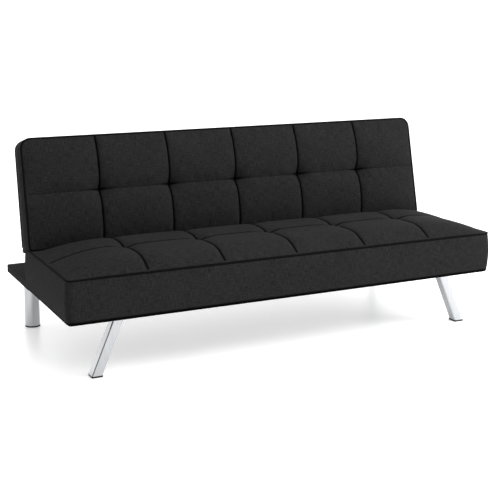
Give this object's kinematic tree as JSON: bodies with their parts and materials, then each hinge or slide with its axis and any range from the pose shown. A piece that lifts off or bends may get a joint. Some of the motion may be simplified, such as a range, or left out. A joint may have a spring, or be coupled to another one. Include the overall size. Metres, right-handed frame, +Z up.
{
  "type": "sofa bed",
  "caption": "Armless three-seat sofa bed with biscuit-tufted charcoal fabric, chromed legs and a click-clack back that folds flat over a rear shelf.",
  "frame": {"origin": "on the floor, under the middle of the whole sofa's box", "axes": "+X along the width, to the right of someone who faces the sofa's front; +Y from the seat's front to the rear shelf; +Z up"},
  "size_m": [1.68, 0.836, 0.7471],
  "materials": {
    "woven_cover": "matte",
    "piping": "matte",
    "foam": "matte",
    "felt": "matte",
    "lining": "matte",
    "timber": "matte",
    "hardboard": "matte",
    "chromed_tube": "polished",
    "glide": "matte",
    "spring_wire": "satin",
    "clip": "matte",
    "zinc_screw": "satin",
    "hinge_steel": "satin",
    "pin_steel": "satin"
  },
  "bodies": {
    "base": {"base_cross_rail_left": "timber", "base_cross_rail_middle": "timber", "base_cross_rail_right": "timber", "base_front_rail": "timber", "base_rear_rail": "timber", "base_side_rail_left": "timber", "base_side_rail_right": "timber", "corner_block_left": "timber", "corner_block_right": "timber", "dust_cover": "lining", "front_glide_left": "glide", "front_glide_right": "glide", "front_leg_left": "chromed_tube", "front_leg_right": "chromed_tube", "hinge_pin_left": "pin_steel", "hinge_pin_right": "pin_steel", "hinge_plate_left": "hinge_steel", "hinge_plate_right": "hinge_steel", "hinge_plate_screws": "zinc_screw", "hinge_washers": "pin_steel", "leg_screws": "zinc_screw", "pawl_pins": "pin_steel", "rear_glide_left": "glide", "rear_glide_right": "glide", "rear_leg_left": "chromed_tube", "rear_leg_right": "chromed_tube", "seat_cover": "woven_cover", "seat_cross_rail_left": "timber", "seat_cross_rail_right": "timber", "seat_felt": "felt", "seat_foam": "foam", "seat_frame_screws": "zinc_screw", "seat_front_rail": "timber", "seat_piping": "piping", "seat_rear_rail": "timber", "seat_side_rail_left": "timber", "seat_side_rail_right": "timber", "seat_spring_clips": "clip", "seat_springs": "spring_wire", "shelf_board": "hardboard", "shelf_cover": "woven_cover"},
    "backrest": {"back_bottom_rail": "timber", "back_cover": "woven_cover", "back_felt": "felt", "back_foam": "foam", "back_frame_screws": "zinc_screw", "back_piping": "piping", "back_side_rail_left": "timber", "back_side_rail_right": "timber", "back_spring_clips": "clip", "back_springs": "spring_wire", "back_top_rail": "timber", "back_upright_left": "timber", "back_upright_right": "timber", "hinge_arm_left": "hinge_steel", "hinge_arm_right": "hinge_steel", "hinge_arm_screws": "zinc_screw"},
    "left_pawl": {"pawl_left": "hinge_steel"},
    "right_pawl": {"pawl_right": "hinge_steel"}
  },
  "joints": [
    {"name": "back_recline", "type": "hinge", "parent": "base", "child": "backrest", "pos_m": [0, 0.0935, 0.31436], "axis": [-1, 0, 0], "range_deg": [0, 77.3]},
    {"name": "left_pawl_swing", "type": "hinge", "parent": "base", "child": "left_pawl", "pos_m": [-0.7895, 0.07929, 0.27301], "axis": [-1, 0, 0], "range_deg": [0, 9]},
    {"name": "right_pawl_swing", "type": "hinge", "parent": "base", "child": "right_pawl", "pos_m": [0.7895, 0.07929, 0.27301], "axis": [-1, 0, 0], "range_deg": [0, 9]}
  ]
}
